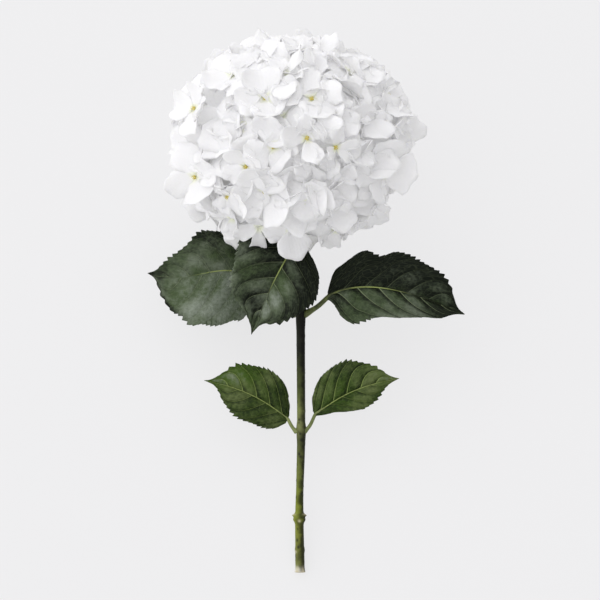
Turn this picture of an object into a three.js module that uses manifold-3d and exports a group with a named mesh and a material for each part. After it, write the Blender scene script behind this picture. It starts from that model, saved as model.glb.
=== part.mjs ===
// A cut mophead hydrangea with five leaves, lying on a flat surface.
// Units are millimetres. The flower is built along its own stem first: +Y from the cut end up
// the stem to the head, +X across, and +Z out of the head's face. It is then laid down with the
// head and the cut end on the surface, so that +Z is up.

import * as THREE from "three";
import { mergeVertices } from "three/addons/utils/BufferGeometryUtils.js";
import Module from "manifold-3d";

const wasm = await Module();
wasm.setup();

const DEG = Math.PI / 180;
const GAP = 0.3; // clear space kept between touching pieces
const SEAM = 0.05; // edges shorter than this are closed up where solids were joined
const TOUCH = 0.005; // corners of one surface nearer than this are moved apart

// ---- driving dimensions -------------------------------------------------------------------

const head = {
  centre: new THREE.Vector3(-4.5, 323, 0),
  // half width, half height and half depth of the surface that the floret centres sit on
  radii: new THREE.Vector3(86, 74, 82),
  count: 94, // florets in the even spiral that the face's own florets are set into
  openAngle: 147 * DEG, // the spiral stops here, which leaves the hole round the stem
  clearance: 23, // a spiral floret nearer than this to one of the face's is left out
  pressed: 8, // how far the head flattens where it lies
  pressedLowest: 0.25, // pressed florets lie this much above the flat spot that bears the head
  pressedStep: 1.15, // florets of one layer lie this much above those of the layer below
  seed: 7,
};

const floret = {
  radius: 22.5,
  thickness: 0.8,
  shoulderAngle: 31 * DEG,
  shoulderAt: 0.88,
  notchAt: 0.45,
  cup: 2.8, // rise of the petals from the centre to the rim
  crown: 1.2, // rise of the notches above that slope
  pedicel: 1.0, // half thickness
  layers: [-6, -2, 2, 6], // steps out of the head's surface, so that petals overlap
  lean: 0.06, // how far a floret may look away from straight outwards
  neighbour: 39, // florets nearer than this to each other are kept in different layers
};

// the dense middle where the branches of the head part from each other
const core = {
  centre: new THREE.Vector3(-3, 303, 0),
  radii: new THREE.Vector3(30, 26, 29),
  rooted: 0.8, // pedicels end inside it, this share of the way out from its centre
};

const stem = {
  sides: 14,
  topUp: 276.6,
  // height along the stem and radius there
  profile: [
    [0, 3.7],
    [14, 3.4],
    [17, 3.75],
    [20, 3.3],
    [35, 3.2],
    [39, 3.9],
    [42, 3.9],
    [46, 3.0],
    [60, 2.75],
    [95, 3.05],
    [104, 3.5],
    [108, 3.7],
    [113, 3.1],
    [150, 3.2],
    [180, 3.3],
    [190, 3.7],
    [198, 4.1],
    [204, 3.4],
    [240, 3.3],
    [250, 3.9],
    [257, 3.5],
    [268, 3.6],
    [276.6, 4.6],
  ],
  // the two lips of the old leaf scars, which widen the stem across
  scar: { up: 41, half: 3, spread: 0.3 },
  // height along the stem and how far the axis wanders across there
  wander: [
    [0, 0],
    [41, -0.5],
    [106, 0.9],
    [194, 0.5],
    [276.6, -1.2],
  ],
};

// The florets that show best on the head's face: where each one's centre is, across and up from
// the head's centre, how far it is turned, its size against the others, and its step outwards.
// The last ones hang over the leaves and look forward.
const faceFlorets = [
  { across: -73, up: 24, turn: 70, size: 1.0, lift: 2 },
  { across: -20, up: 32, turn: 100, size: 1.05, lift: -3 },
  { across: -5, up: 48, turn: 55, size: 1.15, lift: 3 },
  { across: 14, up: 32, turn: 20, size: 0.95, lift: -2 },
  { across: 27, up: 20, turn: 68, size: 0.95, lift: 1 },
  { across: 67, up: 31, turn: 40, size: 1.05, lift: 2 },
  { across: 10, up: 3, turn: 75, size: 1.2, lift: 4 },
  { across: 29, up: -3, turn: 5, size: 1.05, lift: 6 },
  { across: -14, up: -3, turn: 20, size: 0.95, lift: -2 },
  { across: -33, up: -17, turn: 52, size: 1.15, lift: 3 },
  { across: -74, up: -24, turn: 30, size: 1.1, lift: 2 },
  { across: -45, up: -37, turn: 75, size: 1.05, lift: 6 },
  { across: -20, up: -35, turn: 35, size: 1.05, lift: 0 },
  { across: 9, up: -43, turn: 50, size: 1.15, lift: 3 },
  { across: 64, up: -20, turn: 80, size: 1.15, lift: 2 },
  { across: 13, up: 66, turn: 30, size: 1.0, lift: 1 },
  { across: 40, up: 52, turn: 75, size: 1.0, lift: 1 },
  { across: -31, up: -60, turn: 25, size: 1.0, lift: 2, forward: 0.6 },
  { across: 3, up: -62, turn: 65, size: 1.05, lift: 0, forward: 0.7 },
  { across: 31, up: -62, turn: 40, size: 1.05, lift: 4, forward: 0.6 },
];

// Each leaf: where its stalk leaves the stem and a point that it bends through, where the blade
// starts and ends, the way its face looks, how far its midrib bows across (lateBow below 1 moves
// the bow towards the base), sways to both sides and arches up, the fold along its midrib in
// degrees, its teeth on each side, its stalk's radius, and the half width of its left and its
// right half at shares of the length, as seen from the base.
const leaves = [
  {
    name: "leaf_upper_right",
    stalk: [[3, 193, 0], [13, 199, 3]],
    base: [20, 205, 5],
    tip: [123, 193.5, 6],
    margins: [
      [[0, 1.5], [0.02, 16], [0.08, 20.5], [0.23, 28.5], [0.345, 25], [0.46, 29.8], [0.6, 27.5],
        [0.78, 23], [0.87, 16], [0.94, 3.5], [1, 0]],
      [[0, 1.5], [0.05, 9.5], [0.11, 22.5], [0.2, 30.5], [0.28, 28.5], [0.38, 24.5], [0.54, 21.3],
        [0.69, 16], [0.83, 9.8], [0.93, 2.8], [1, 0]],
    ],
    face: [0.05, 0.2, 1],
    bow: -11,
    lateBow: 0.65,
    sway: 0,
    arch: 10,
    fold: 24,
    teeth: 17,
    stalkRadius: 1.9,
  },
  {
    name: "leaf_upper_left",
    stalk: [[-3, 193, -1], [-18, 208, -14]],
    base: [-31, 221, -26],
    tip: [-116, 224.5, -20],
    margins: [
      [[0, 1.5], [0.1, 32], [0.22, 39], [0.35, 43.3], [0.5, 41], [0.59, 39.5], [0.68, 30.5],
        [0.77, 26.5], [0.85, 16], [0.93, 3.5], [1, 0]],
      [[0, 1.5], [0.06, 17], [0.18, 27], [0.35, 31.3], [0.51, 35], [0.57, 33], [0.64, 27],
        [0.72, 20.8], [0.81, 14], [0.87, 8.8], [0.93, 3.5], [1, 0]],
    ],
    face: [0.05, 0.3, 1],
    bow: -1,
    lateBow: 1,
    sway: 3.5,
    arch: 9,
    fold: 8,
    teeth: 17,
    stalkRadius: 1.9,
  },
  {
    name: "leaf_front",
    stalk: [[0, 226, 3], [-1, 242, 7]],
    base: [-2, 249, 10],
    tip: [-36, 178.5, 19],
    margins: [
      [[0, 2], [0.05, 11], [0.16, 22.8], [0.27, 29.3], [0.42, 33], [0.54, 30.5], [0.7, 22.6],
        [0.8, 14], [0.87, 5], [0.94, 1.6], [1, 0]],
      [[0, 2], [0.1, 19], [0.18, 36], [0.34, 34.2], [0.5, 31.5], [0.6, 30], [0.7, 25], [0.78, 18.5],
        [0.84, 10], [0.92, 3.5], [1, 0]],
    ],
    face: [0.05, 0.1, 1],
    bow: 2,
    lateBow: 1,
    sway: 0,
    arch: 9,
    fold: 6,
    teeth: 16,
    stalkRadius: 1.8,
  },
  {
    name: "leaf_lower_left",
    stalk: [[-2.5, 105, 0], [-6, 109, 1]],
    base: [-8.8, 115, 2],
    tip: [-71.5, 144, 8],
    margins: [
      [[0, 3.5], [0.09, 12], [0.2, 16], [0.35, 18.5], [0.48, 19.3], [0.6, 17], [0.72, 12], [0.8, 6],
        [0.88, 2], [1, 0]],
      [[0, 2], [0.06, 10.5], [0.14, 17.3], [0.25, 21.4], [0.4, 22.3], [0.6, 20.5], [0.73, 17.5],
        [0.8, 13.3], [0.87, 7], [0.94, 2], [1, 0]],
    ],
    face: [0.0, 0.0, 1],
    bow: 5,
    lateBow: 1,
    sway: 0,
    arch: 5,
    fold: 10,
    teeth: 13,
    stalkRadius: 1.35,
  },
  {
    name: "leaf_lower_right",
    stalk: [[3, 105, 0], [7.5, 110, 1]],
    base: [10.7, 118, 2],
    tip: [74, 145.5, 8],
    margins: [
      [[0, 2], [0.05, 11], [0.14, 17.5], [0.28, 21.8], [0.45, 23.2], [0.6, 21.6], [0.72, 17],
        [0.82, 11.5], [0.89, 5.5], [0.95, 2], [1, 0]],
      [[0, 1], [0.1, 4.5], [0.22, 7.5], [0.35, 12], [0.5, 15], [0.6, 14.2], [0.7, 11], [0.8, 6],
        [0.88, 2.8], [1, 0]],
    ],
    face: [0.0, 0.0, 1],
    bow: -5,
    lateBow: 1,
    sway: 0,
    arch: 5,
    fold: 10,
    teeth: 13,
    stalkRadius: 1.35,
  },
];

const blade = {
  thickness: 0.9,
  firstRow: 0.012, // share of the length where the blade's first and last rows of points are
  lastRow: 0.975,
  toothHeight: 2.0,
  toothFull: 15, // a half narrower than this has lower teeth
  toothAt: 0.62, // share of its row where a tooth points
  toothSweep: 0.9, // how far a tooth leans towards the tip, as a share of its height
  veins: 6,
  quilt: 0.9, // rise of the blade between its side veins
  droop: 0.16, // how far the margins hang, as a share of the half width
};

// ---- the pose on the surface ---------------------------------------------------------------

const endRadius = stem.profile[0][1];
const restHeight = head.radii.z + Math.max(...floret.layers) + floret.cup - head.pressed;
const tilt = Math.asin((restHeight - endRadius) / head.centre.y);
const endHeight = endRadius * Math.cos(tilt);
const upwards = new THREE.Vector3(0, Math.sin(tilt), Math.cos(tilt)); // straight up, in the flower's frame

function heightOf(point) {
  return endHeight + point.dot(upwards);
}

// Moves a point that would go under the given height up to it, as a petal flattens on a table.
function press(point, lowest) {
  const under = lowest - heightOf(point);
  return under > 0 ? point.addScaledVector(upwards, under) : point;
}

// ---- helpers ---------------------------------------------------------------------------------

// An even draw from low to high, the same on every run.
function drawFrom(seed) {
  let state = seed;
  return (low, high) => {
    state = (state * 16807) % 2147483647;
    return low + ((high - low) * state) / 2147483647;
  };
}

function solidFrom(vertices, faces) {
  const flat = vertices.flatMap((v) => [v.x, v.y, v.z]);
  return new wasm.Manifold(
    new wasm.Mesh({
      numProp: 3,
      vertProperties: new Float32Array(flat),
      triVerts: new Uint32Array(faces.flat()),
    }),
  );
}

function solidOf(geometry) {
  const bare = new THREE.BufferGeometry();
  bare.setAttribute("position", geometry.getAttribute("position"));
  bare.setIndex(geometry.index);
  const merged = mergeVertices(bare, 1e-4);
  return new wasm.Manifold(
    new wasm.Mesh({
      numProp: 3,
      vertProperties: merged.attributes.position.array,
      triVerts: new Uint32Array(merged.index.array),
    }),
  );
}

// The largest body of a solid. Sealed hollows and loose scraps are left out.
function mainBody(solid) {
  return solid
    .decompose()
    .reduce((best, body) => (body.volume() > best.volume() ? body : best));
}

function geometryOf(solid) {
  const mesh = solid.getMesh();
  const points = [];
  for (let i = 0; i < mesh.numVert; i++)
    points.push(...mesh.vertProperties.subarray(i * mesh.numProp, i * mesh.numProp + 3));
  const geometry = new THREE.BufferGeometry();
  geometry.setAttribute("position", new THREE.Float32BufferAttribute(points, 3));
  geometry.setIndex(new THREE.BufferAttribute(new Uint32Array(mesh.triVerts), 1));
  geometry.computeVertexNormals();
  partTouching(geometry);
  return geometry;
}

// Where two petals only just meet at a corner, both corners draw back a hair, so that the surface
// doesn't touch itself.
function partTouching(geometry) {
  const position = geometry.getAttribute("position");
  const normal = geometry.getAttribute("normal");
  const order = [...Array(position.count).keys()].sort((a, b) => position.getX(a) - position.getX(b));
  const corner = (i) => new THREE.Vector3().fromBufferAttribute(position, i);
  const touching = new Set();
  order.forEach((a, i) => {
    for (let j = i + 1; j < order.length; j++) {
      const b = order[j];
      if (position.getX(b) - position.getX(a) > TOUCH) break;
      if (corner(a).distanceTo(corner(b)) < TOUCH) touching.add(a).add(b);
    }
  });
  for (const i of touching) {
    const back = new THREE.Vector3().fromBufferAttribute(normal, i).multiplyScalar(-2 * TOUCH);
    position.setXYZ(i, ...corner(i).add(back));
  }
}

// Reads a list of [place, value] pairs at any place between them, smoothly.
function along(pairs, place) {
  const last = pairs.length - 1;
  if (place <= pairs[0][0]) return pairs[0][1];
  if (place >= pairs[last][0]) return pairs[last][1];
  const i = pairs.findIndex((pair) => pair[0] > place) - 1;
  const share = (place - pairs[i][0]) / (pairs[i + 1][0] - pairs[i][0]);
  return THREE.MathUtils.lerp(pairs[i][1], pairs[i + 1][1], THREE.MathUtils.smoothstep(share, 0, 1));
}

// A round closed rod through the points, with a radius at each.
function rod(points, radii, sides) {
  const vertices = [];
  const faces = [];
  let side = new THREE.Vector3(0.31, 0.42, 0.85);
  points.forEach((point, i) => {
    const before = points[Math.max(i - 1, 0)];
    const after = points[Math.min(i + 1, points.length - 1)];
    const forward = after.clone().sub(before).normalize();
    side = side.clone().addScaledVector(forward, -side.dot(forward)).normalize();
    const other = forward.clone().cross(side);
    for (let j = 0; j < sides; j++) {
      const angle = (2 * Math.PI * j) / sides;
      vertices.push(
        point
          .clone()
          .addScaledVector(side, radii[i] * Math.cos(angle))
          .addScaledVector(other, radii[i] * Math.sin(angle)),
      );
    }
  });
  for (let i = 0; i < points.length - 1; i++)
    for (let j = 0; j < sides; j++) {
      const [a, b] = [i * sides + j, i * sides + ((j + 1) % sides)];
      faces.push([a, b, b + sides], [a, b + sides, a + sides]);
    }
  const end = (points.length - 1) * sides;
  for (let j = 1; j < sides - 1; j++) faces.push([0, j + 1, j], [end, end + j, end + j + 1]);
  return solidFrom(vertices, faces);
}

// ---- stem ------------------------------------------------------------------------------------

function stemSolid(grown) {
  const profile = stem.profile.map(([up, radius]) => new THREE.Vector2(radius + grown, up));
  profile.unshift(new THREE.Vector2(0, 0));
  profile.push(new THREE.Vector2(0, stem.topUp));
  const geometry = new THREE.LatheGeometry(profile, stem.sides);
  const position = geometry.getAttribute("position");
  for (let i = 0; i < position.count; i++) {
    const up = position.getY(i);
    const lips = 1 + stem.scar.spread * Math.exp(-(((up - stem.scar.up) / stem.scar.half) ** 2));
    position.setX(i, position.getX(i) * lips + along(stem.wander, up));
  }
  return solidOf(geometry);
}

// ---- leaves ----------------------------------------------------------------------------------

// Half width of the blade from the base (0) to the tip (1), on the side of the midrib that t is on.
// It is a smooth curve through the leaf's margin points.
function bladeHalf(leaf, s, t) {
  const margin = leaf.margins[t < 0 ? 0 : 1];
  const last = margin.length - 1;
  const i = Math.min(last, Math.max(1, margin.findIndex((point) => point[0] >= s))) - 1;
  const [low, start] = margin[i];
  const [high, end] = margin[i + 1];
  const before = margin[Math.max(i - 1, 0)];
  const after = margin[Math.min(i + 2, last)];
  const wide = high - low;
  const first = ((end - before[1]) / (high - before[0])) * wide;
  const second = ((after[1] - start) / (after[0] - low)) * wide;
  const u = (s - low) / wide;
  const turned = first + second - 2 * (end - start);
  return start + u * (first + u * (3 * (end - start) - 2 * first - second + u * turned));
}

// The point of a leaf's face at s along its midrib and t across it, from -1 to 1.
function leafPoint(leaf, s, t, reach = 0) {
  const base = new THREE.Vector3(...leaf.base);
  const forward = new THREE.Vector3(...leaf.tip).sub(base);
  const length = forward.length();
  forward.normalize();
  const face = new THREE.Vector3(...leaf.face);
  face.addScaledVector(forward, -face.dot(forward)).normalize();
  const across = forward.clone().cross(face);
  const half = bladeHalf(leaf, s, t) + reach;
  const hump = Math.sin(Math.PI * s);
  const aside = leaf.bow * Math.sin(Math.PI * s ** leaf.lateBow) + leaf.sway * Math.sin(2 * Math.PI * s);
  const wave = Math.abs(t) * Math.cos(2 * Math.PI * (blade.veins * s - 1.1 * Math.abs(t)));
  const rise =
    leaf.arch * hump +
    half * Math.abs(t) * Math.sin(leaf.fold * DEG) -
    blade.droop * half * t * t -
    blade.quilt * wave * hump;
  return base
    .addScaledVector(forward, length * s + reach * blade.toothSweep)
    .addScaledVector(across, half * t * Math.cos(leaf.fold * DEG) + aside)
    .addScaledVector(face, rise);
}

function bladeSolid(leaf) {
  const columns = [-1, -0.5, 0, 0.5, 1];
  const rows = leaf.teeth;
  const face = [];
  const faces = [];
  const at = (row) => THREE.MathUtils.lerp(blade.firstRow, blade.lastRow, row / rows);
  for (let row = 0; row <= rows; row++)
    for (const t of columns) face.push(leafPoint(leaf, at(row), t));
  const wide = columns.length;
  for (let row = 0; row < rows; row++)
    for (let c = 0; c < wide - 1; c++) {
      const a = row * wide + c;
      if (c < 2) faces.push([a, a + 1, a + 1 + wide], [a, a + 1 + wide, a + wide]);
      else faces.push([a, a + 1, a + wide], [a + 1, a + 1 + wide, a + wide]);
    }
  // one tooth on each side of every row but the first, and the drawn-out tip
  const left = [];
  const right = [];
  for (let row = 0; row < rows; row++) {
    const [a, b] = [row * wide, (row + 1) * wide];
    const s = at(row + blade.toothAt);
    for (const [t, near, far, list] of [
      [-1, a, b, left],
      [1, a + wide - 1, b + wide - 1, right],
    ]) {
      const height = row ? blade.toothHeight * Math.min(1, bladeHalf(leaf, s, t) / blade.toothFull) : 0.01;
      face.push(leafPoint(leaf, s, t, height));
      const tip = face.length - 1;
      faces.push(t < 0 ? [near, far, tip] : [near, tip, far]);
      list.push(near, tip);
    }
  }
  face.push(leafPoint(leaf, 1, 0));
  const tip = face.length - 1;
  const last = rows * wide;
  for (let c = 0; c < wide - 1; c++) faces.push([last + c, last + c + 1, tip]);
  const baseEdge = [0, 1, 2, 3];
  const rim = [...baseEdge, ...right, last + wide - 1, tip, last, ...left.reverse()];
  return thickened(face, faces, rim, leaf);
}

// A closed blade from its upper face: the lower one is the same set of triangles, moved down.
function thickened(face, faces, rim, leaf) {
  const normal = new THREE.Vector3(...leaf.face).normalize();
  const under = face.map((p) => p.clone().addScaledVector(normal, -blade.thickness));
  const n = face.length;
  const closed = [...faces, ...faces.map(([a, b, c]) => [a + n, c + n, b + n])];
  rim.forEach((a, i) => {
    const b = rim[(i + 1) % rim.length];
    closed.push([a, a + n, b + n], [a, b + n, b]);
  });
  return solidFrom([...face, ...under], closed);
}

// The stalk swells where it meets the stem and runs on under the blade as its midrib.
function stalkSolid(leaf) {
  const normal = new THREE.Vector3(...leaf.face).normalize();
  const midrib = [0.02, 0.1, 0.2].map((s) =>
    leafPoint(leaf, s, 0).addScaledVector(normal, -blade.thickness),
  );
  const points = [...leaf.stalk.map((p) => new THREE.Vector3(...p)), ...midrib];
  const radii = [1.5, 1, 0.95, 0.8, 0.45].map((share) => share * leaf.stalkRadius);
  return rod(points, radii, 7);
}

function leafSolid(leaf, stemRoom) {
  return mainBody(bladeSolid(leaf).add(stalkSolid(leaf)).subtract(stemRoom));
}

// ---- head ------------------------------------------------------------------------------------

// A direction out of the head's centre becomes a spot on the surface of floret centres.
function spotOf(on) {
  return on.clone().multiply(head.radii);
}

// The florets of the head's face, and then an even spiral of others from its crown down to the
// hole round the stem, wherever none of the face's is close.
function placeFlorets() {
  const draw = drawFrom(head.seed);
  const face = faceFlorets.map((f) => {
    const u = f.across / head.radii.x;
    const v = f.up / head.radii.y;
    const deep = Math.sqrt(Math.max(0.02, 1 - u * u - v * v));
    return { ...f, on: new THREE.Vector3(u, v, deep).normalize(), turn: f.turn * DEG };
  });
  const placed = [...face];
  const golden = Math.PI * (3 - Math.sqrt(5));
  for (let k = 0; k < head.count; k++) {
    const high = 1 - ((k + 0.5) / head.count) * (1 - Math.cos(head.openAngle));
    const flat = Math.sqrt(1 - high * high);
    const on = new THREE.Vector3(flat * Math.cos(k * golden), high, flat * Math.sin(k * golden));
    if (face.some((f) => spotOf(f.on).distanceTo(spotOf(on)) < head.clearance)) continue;
    placed.push({ on, turn: draw(0, 90) * DEG, size: draw(0.93, 1.07), lift: layerFor(on, placed) });
  }
  // the floret that is most nearly straight under the head is the flat spot that it rests on
  const aside = (f) => spotOf(f.on).angleTo(upwards);
  const bearing = placed.reduce((a, b) => (aside(b) > aside(a) ? b : a));
  bearing.bears = true;
  bearing.lift = Math.max(...floret.layers);
  return placed.map((f) => framed(f, draw));
}

// The step outwards that is furthest from those of the florets close by.
function layerFor(on, placed) {
  const around = placed.filter((f) => spotOf(f.on).distanceTo(spotOf(on)) < floret.neighbour);
  const worth = (lift) => Math.min(...around.map((f) => Math.abs(f.lift - lift)));
  return floret.layers.reduce((best, lift) => (worth(lift) > worth(best) ? lift : best));
}

// A floret's place and directions on the flower, with its four petals' own sizes.
function framed(f, draw) {
  const layersOver = floret.layers.filter((lift) => lift > f.lift).length;
  const lowest = f.bears ? 0 : head.pressedLowest + head.pressedStep * layersOver + draw(0, 0.2);
  const out = f.on.clone().divide(head.radii).normalize();
  out.z += f.forward ?? 0;
  const lean = new THREE.Vector3(draw(-1, 1), draw(-1, 1), draw(-1, 1)).multiplyScalar(floret.lean);
  out.add(lean).normalize();
  const across = new THREE.Vector3(1, 0, 0);
  if (Math.abs(out.x) > 0.92) across.set(0, 0, -Math.sign(out.x));
  across.addScaledVector(out, -across.dot(out)).normalize();
  const centre = spotOf(f.on).add(head.centre).addScaledVector(out, f.lift);
  const petals = [0, 1, 2, 3].map((k) => ({
    angle: f.turn + k * 90 * DEG,
    length: floret.radius * f.size * draw(0.9, 1.1),
    rise: draw(-1, 1),
    tilt: draw(-0.12, 0.12),
  }));
  return { centre, out, across, up: out.clone().cross(across), petals, lowest };
}

// A point of a petal at a share of its length, turned from the petal's middle line. The upper
// face has no depth, and the lower one is a petal's thickness deep.
function petalPoint(f, petal, share, angle, depth) {
  const reach = petal.length * share;
  const rise = floret.cup * share + (floret.crown + petal.rise) * Math.sin(Math.PI * Math.min(1, share));
  const point = f.centre
    .clone()
    .addScaledVector(f.across, reach * Math.cos(petal.angle + angle))
    .addScaledVector(f.up, reach * Math.sin(petal.angle + angle))
    .addScaledVector(f.out, rise + petal.tilt * Math.sin(angle) * reach - depth);
  return press(point, f.lowest + depth);
}

// The rim of a floret's four petals, as the points of each petal in turn from notch to notch.
function rimPoints(f, depth) {
  return f.petals.flatMap((petal) => [
    petalPoint(f, petal, floret.notchAt, -45 * DEG, depth),
    petalPoint(f, petal, floret.shoulderAt, -floret.shoulderAngle, depth),
    petalPoint(f, petal, 1, 0, depth),
    petalPoint(f, petal, floret.shoulderAt, floret.shoulderAngle, depth),
  ]);
}

// A floret: four petals round a centre as one thin plate, and the pedicel that bears it.
function floretSolid(f) {
  const upper = rimPoints(f, 0);
  const lower = rimPoints(f, floret.thickness);
  const centre = press(f.centre.clone(), f.lowest);
  // the pedicel's square section leaves the underside towards the core and ends inside it
  const foot = f.centre.clone().sub(core.centre).divide(core.radii).normalize();
  foot.multiply(core.radii).multiplyScalar(core.rooted).add(core.centre);
  const collar = f.petals.map((petal) =>
    petalPoint(f, petal, floret.pedicel / petal.length, -45 * DEG, floret.thickness),
  );
  const down = foot.sub(f.centre);
  const base = collar.map((p) => p.clone().add(down));
  const vertices = [...upper, ...lower, centre, ...collar, ...base];
  const n = upper.length;
  const middle = 2 * n;
  const ring = middle + 1;
  const faces = [];
  for (let i = 0; i < n; i++) {
    const j = (i + 1) % n;
    faces.push([middle, i, j], [i, i + n, j + n], [i, j + n, j]);
  }
  for (let k = 0; k < 4; k++) {
    const next = (k + 1) % 4;
    const [r, s] = [ring + k, ring + next];
    const notch = n + 4 * k;
    const tip = notch + 2;
    const after = n + ((4 * k + 4) % n);
    faces.push([r, notch + 1, notch], [r, tip, notch + 1], [r, s, tip]);
    faces.push([s, notch + 3, tip], [s, after, notch + 3]);
    faces.push([r, r + 4, s + 4], [r, s + 4, s]);
  }
  faces.push([ring + 4, ring + 6, ring + 5], [ring + 4, ring + 7, ring + 6]);
  return solidFrom(vertices, faces);
}

function bloomSolid() {
  const middle = new THREE.IcosahedronGeometry(1, 2);
  middle.scale(core.radii.x, core.radii.y, core.radii.z);
  middle.translate(core.centre.x, core.centre.y, core.centre.z);
  const florets = placeFlorets().map(floretSolid);
  const all = wasm.Manifold.union([solidOf(middle), ...florets]);
  return mainBody(all).simplify(SEAM);
}

// ---- the flower ------------------------------------------------------------------------------

const finishes = {
  petal: new THREE.MeshStandardMaterial({ color: 0xf4f4f5, roughness: 0.7, metalness: 0 }),
  leaf: new THREE.MeshStandardMaterial({ color: 0x2c3d28, roughness: 0.55, metalness: 0 }),
  stem: new THREE.MeshStandardMaterial({ color: 0x66753a, roughness: 0.6, metalness: 0 }),
};

function piece(name, solid, finish) {
  const mesh = new THREE.Mesh(geometryOf(solid), finish);
  mesh.name = name;
  return mesh;
}

const stemRoom = stemSolid(GAP);
const flower = new THREE.Group();
flower.add(piece("stem", stemSolid(0), finishes.stem));
for (const leaf of leaves) flower.add(piece(leaf.name, leafSolid(leaf, stemRoom), finishes.leaf));
flower.add(piece("bloom", bloomSolid(), finishes.petal));

// lay the flower down, with the middle of its outline over the origin
flower.rotation.x = tilt;
const lying = new THREE.Group();
lying.add(flower);
lying.updateMatrixWorld(true);
const box = new THREE.Box3().setFromObject(flower, true);
flower.position.set(-(box.min.x + box.max.x) / 2, -(box.min.y + box.max.y) / 2, -box.min.z);

export default lying;
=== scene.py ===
import random
from math import asin, atan, atan2, copysign, cos, exp, floor, hypot, pi, radians, sin, sqrt, tau

import bpy
from mathutils import Matrix, Vector


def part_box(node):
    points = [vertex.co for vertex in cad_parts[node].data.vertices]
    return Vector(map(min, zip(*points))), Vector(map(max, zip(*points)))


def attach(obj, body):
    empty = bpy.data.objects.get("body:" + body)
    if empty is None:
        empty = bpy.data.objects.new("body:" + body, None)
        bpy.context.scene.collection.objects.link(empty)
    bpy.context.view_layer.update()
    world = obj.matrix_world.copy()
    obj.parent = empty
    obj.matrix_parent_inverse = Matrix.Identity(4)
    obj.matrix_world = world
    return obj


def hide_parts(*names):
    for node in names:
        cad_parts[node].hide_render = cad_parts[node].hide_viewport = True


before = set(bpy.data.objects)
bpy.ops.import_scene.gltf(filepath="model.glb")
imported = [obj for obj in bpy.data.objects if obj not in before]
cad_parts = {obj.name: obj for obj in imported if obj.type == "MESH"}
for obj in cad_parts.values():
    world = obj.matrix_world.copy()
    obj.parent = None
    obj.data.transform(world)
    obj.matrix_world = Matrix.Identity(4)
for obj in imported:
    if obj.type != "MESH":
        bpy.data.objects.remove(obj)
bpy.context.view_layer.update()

mm = 0.001

# The flower is laid out along its own stem in millimetres: y up the stem from the cut end,
# x across, z out of the head's face. layDown then turns it to the way it lies.

pose = {
    "endRadius": 3.7,  # of the stem at its cut end
    "headUp": 323.0,  # of the head's centre, along the stem
    "restHeight": 82.8,  # of the head's centre over the surface
    "rightTip": 123.0,  # of the upper right leaf, across
}
tilt = asin((pose["restHeight"] - pose["endRadius"]) / pose["headUp"])
turnDown = Matrix.Rotation(tilt, 3, "X")
shift = Vector((
    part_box("leaf_upper_right")[1].x - pose["rightTip"] * mm,
    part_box("stem")[0].y + pose["endRadius"] * sin(tilt) * mm,
    pose["endRadius"] * cos(tilt) * mm,
))


def layDown(point):
    return turnDown @ (point * mm) + shift


def addObject(name, data):
    made = bpy.data.objects.new(name, data)
    bpy.context.collection.objects.link(made)
    return made


def addPiece(name, heap, finish, replaced):
    mesh = bpy.data.meshes.new(name)
    mesh.from_pydata([layDown(p) for p in heap.points], [], heap.faces)
    for key, values in heap.marks.items():  # a value at each point, which materials read by name
        mesh.attributes.new(key, "FLOAT", "POINT").data.foreach_set("value", values)
    mesh.polygons.foreach_set("use_smooth", [True] * len(mesh.polygons))
    mesh.materials.append(finishes[finish])
    piece = addObject(name, mesh)
    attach(piece, "root")
    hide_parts(replaced)
    return piece


def addShell(piece, thickness, offset):
    shell = piece.modifiers.new("shell", "SOLIDIFY")
    shell.thickness = thickness * mm
    shell.offset = offset  # -1 is under the surface, and 0 half on each side


class Heap:  # points, faces and marks gathered from many small forms into one mesh
    def __init__(self, *marks):
        self.points, self.faces, self.marks = [], [], {key: [] for key in marks}

    def add(self, points, faces, **marks):
        first = len(self.points)
        self.points += points
        self.faces += [[first + i for i in face] for face in faces]
        for key, store in self.marks.items():
            value = marks[key]
            store += value if isinstance(value, list) else [value] * len(points)


def gridFaces(rows, columns, first=0, closed=False):
    return [
        [first + i * columns + j, first + i * columns + (j + 1) % columns,
         first + (i + 1) * columns + (j + 1) % columns, first + (i + 1) * columns + j]
        for i in range(rows - 1)
        for j in range(columns if closed else columns - 1)
    ]


def ringFaces(rings, sides, first=0):
    return gridFaces(rings, sides, first, True)


def turnsOf(sides):
    return [tau * j / sides for j in range(sides)]


def towards(side, other, turn):
    return side * cos(turn) + other * sin(turn)


def ballForm(centre, out, radius, squash, rings, sides):
    side = out.orthogonal().normalized()
    other = out.cross(side)
    points = [centre - out * radius * squash]
    for i in range(1, rings):
        polar = pi * i / rings
        for turn in turnsOf(sides):
            beside = towards(side, other, turn) * sin(polar)
            points.append(centre + (beside - out * cos(polar) * squash) * radius)
    points.append(centre + out * radius * squash)
    last = len(points) - 1
    low = last - sides
    faces = [[0, 1 + (j + 1) % sides, 1 + j] for j in range(sides)] + ringFaces(rings - 1, sides, 1)
    faces += [[last, low + j, low + (j + 1) % sides] for j in range(sides)]
    return points, faces


def rodForm(path, radii, sides):
    points = []
    side = Vector((0.31, 0.42, 0.85))  # any way that no path sets out in
    for i, point in enumerate(path):
        forward = (path[min(i + 1, len(path) - 1)] - path[max(i - 1, 0)]).normalized()
        side = (side - forward * side.dot(forward)).normalized()
        other = forward.cross(side)
        points += [point + towards(side, other, turn) * radii[i] for turn in turnsOf(sides)]
    start, end = [*range(sides)][::-1], [*range(len(points) - sides, len(points))]
    return points, [*ringFaces(len(path), sides), start, end]


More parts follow.
